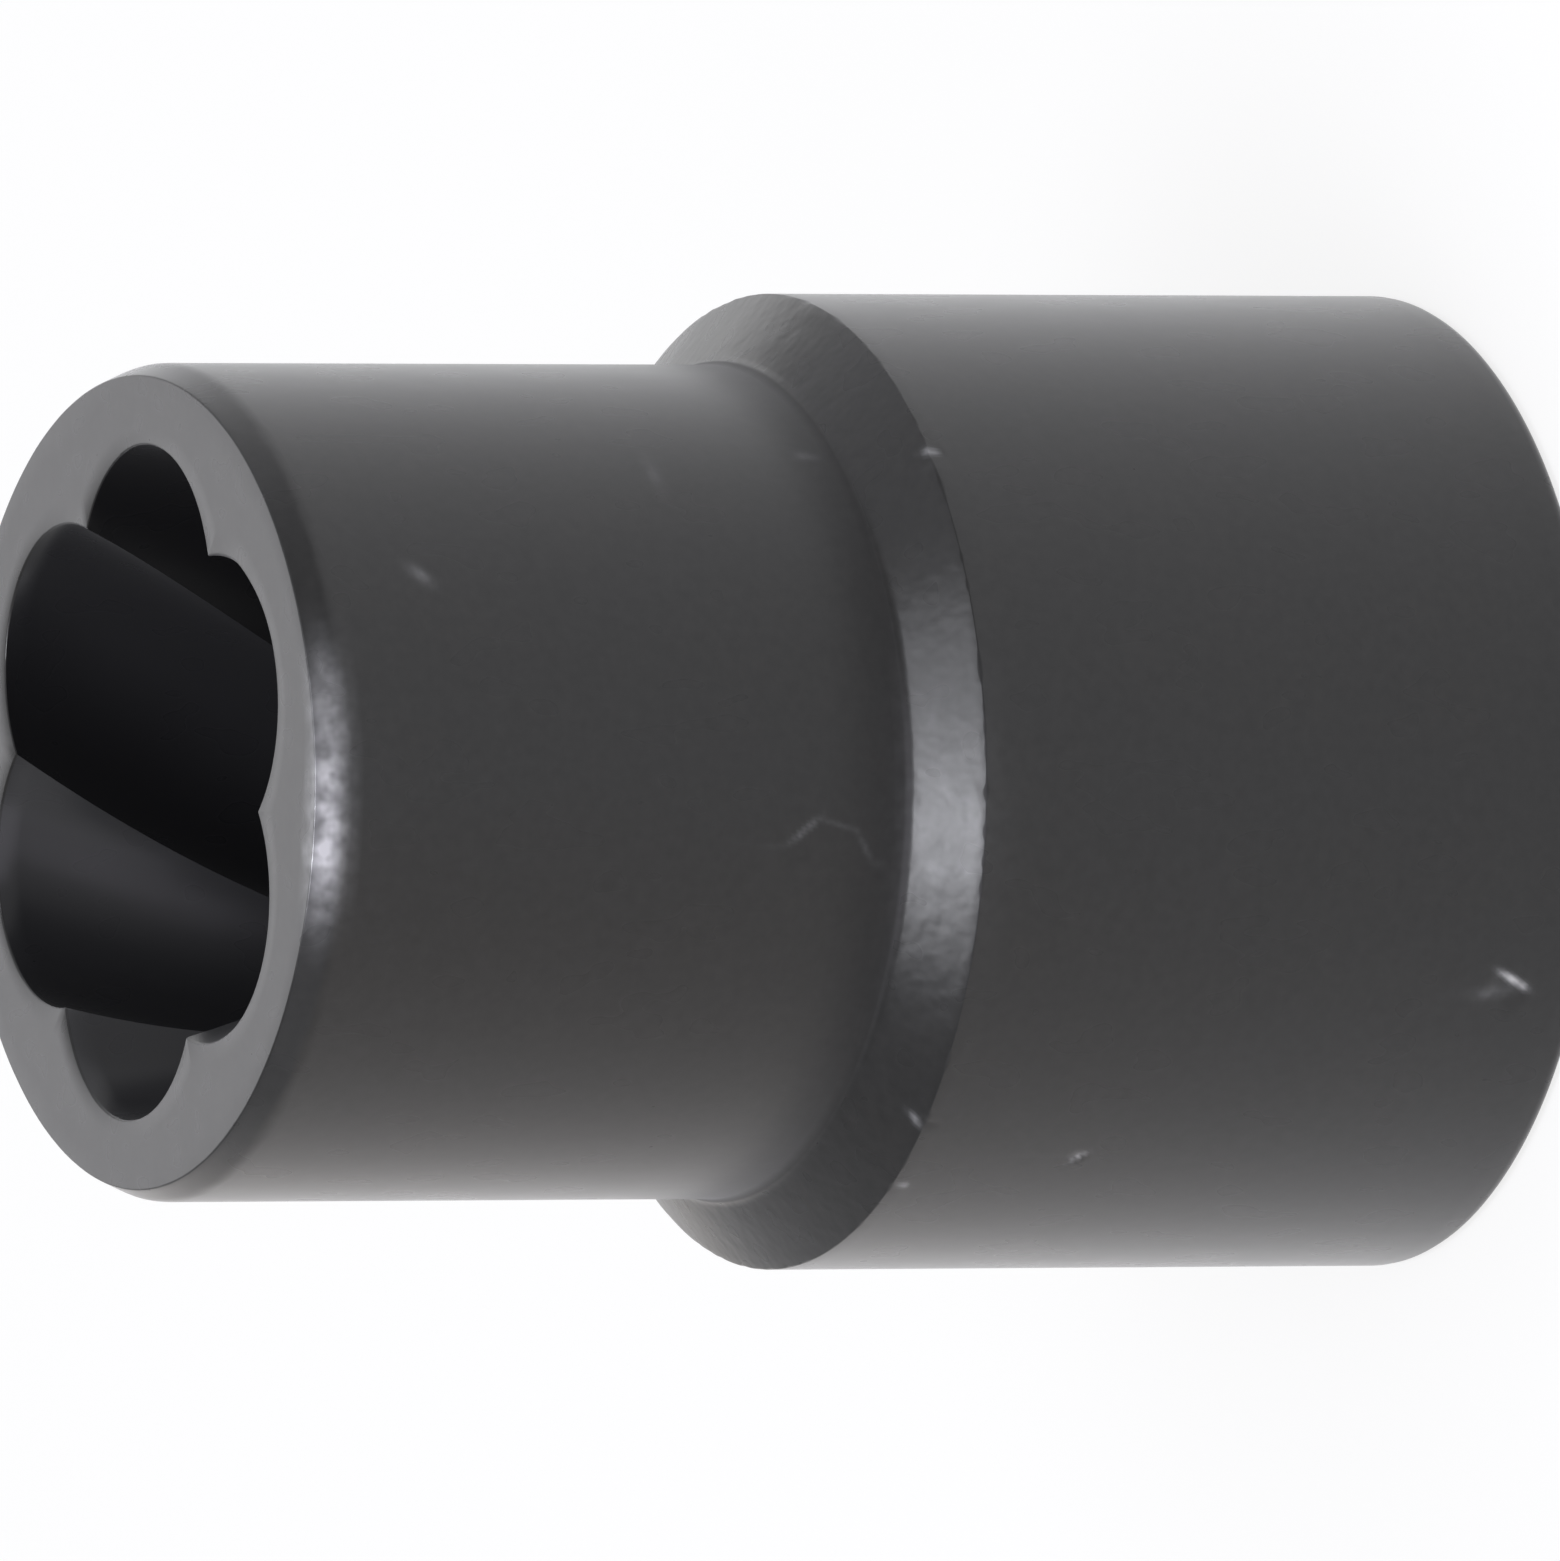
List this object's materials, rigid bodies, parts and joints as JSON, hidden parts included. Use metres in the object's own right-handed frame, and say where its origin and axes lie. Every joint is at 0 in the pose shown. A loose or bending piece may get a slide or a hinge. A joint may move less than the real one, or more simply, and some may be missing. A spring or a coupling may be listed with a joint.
{
  "type": "screw extractor",
  "caption": "Socket-type screw extractor with a left-hand spiral-fluted mouth that bites into rounded bolt heads and a square drive socket in its larger end.",
  "frame": {"origin": "centre of the drive face, on which the socket stands", "axes": "+Z along the socket's axis, from the drive face to the nose face; X and Y square to the flats of the drive"},
  "size_m": [0.024, 0.024, 0.0342],
  "materials": {
    "black_steel": "matte black phosphated steel, with a satin grey sheen at grazing angles and small bright nicks"
  },
  "bodies": {
    "root": {"extractor_socket": "black_steel"}
  },
  "joints": []
}
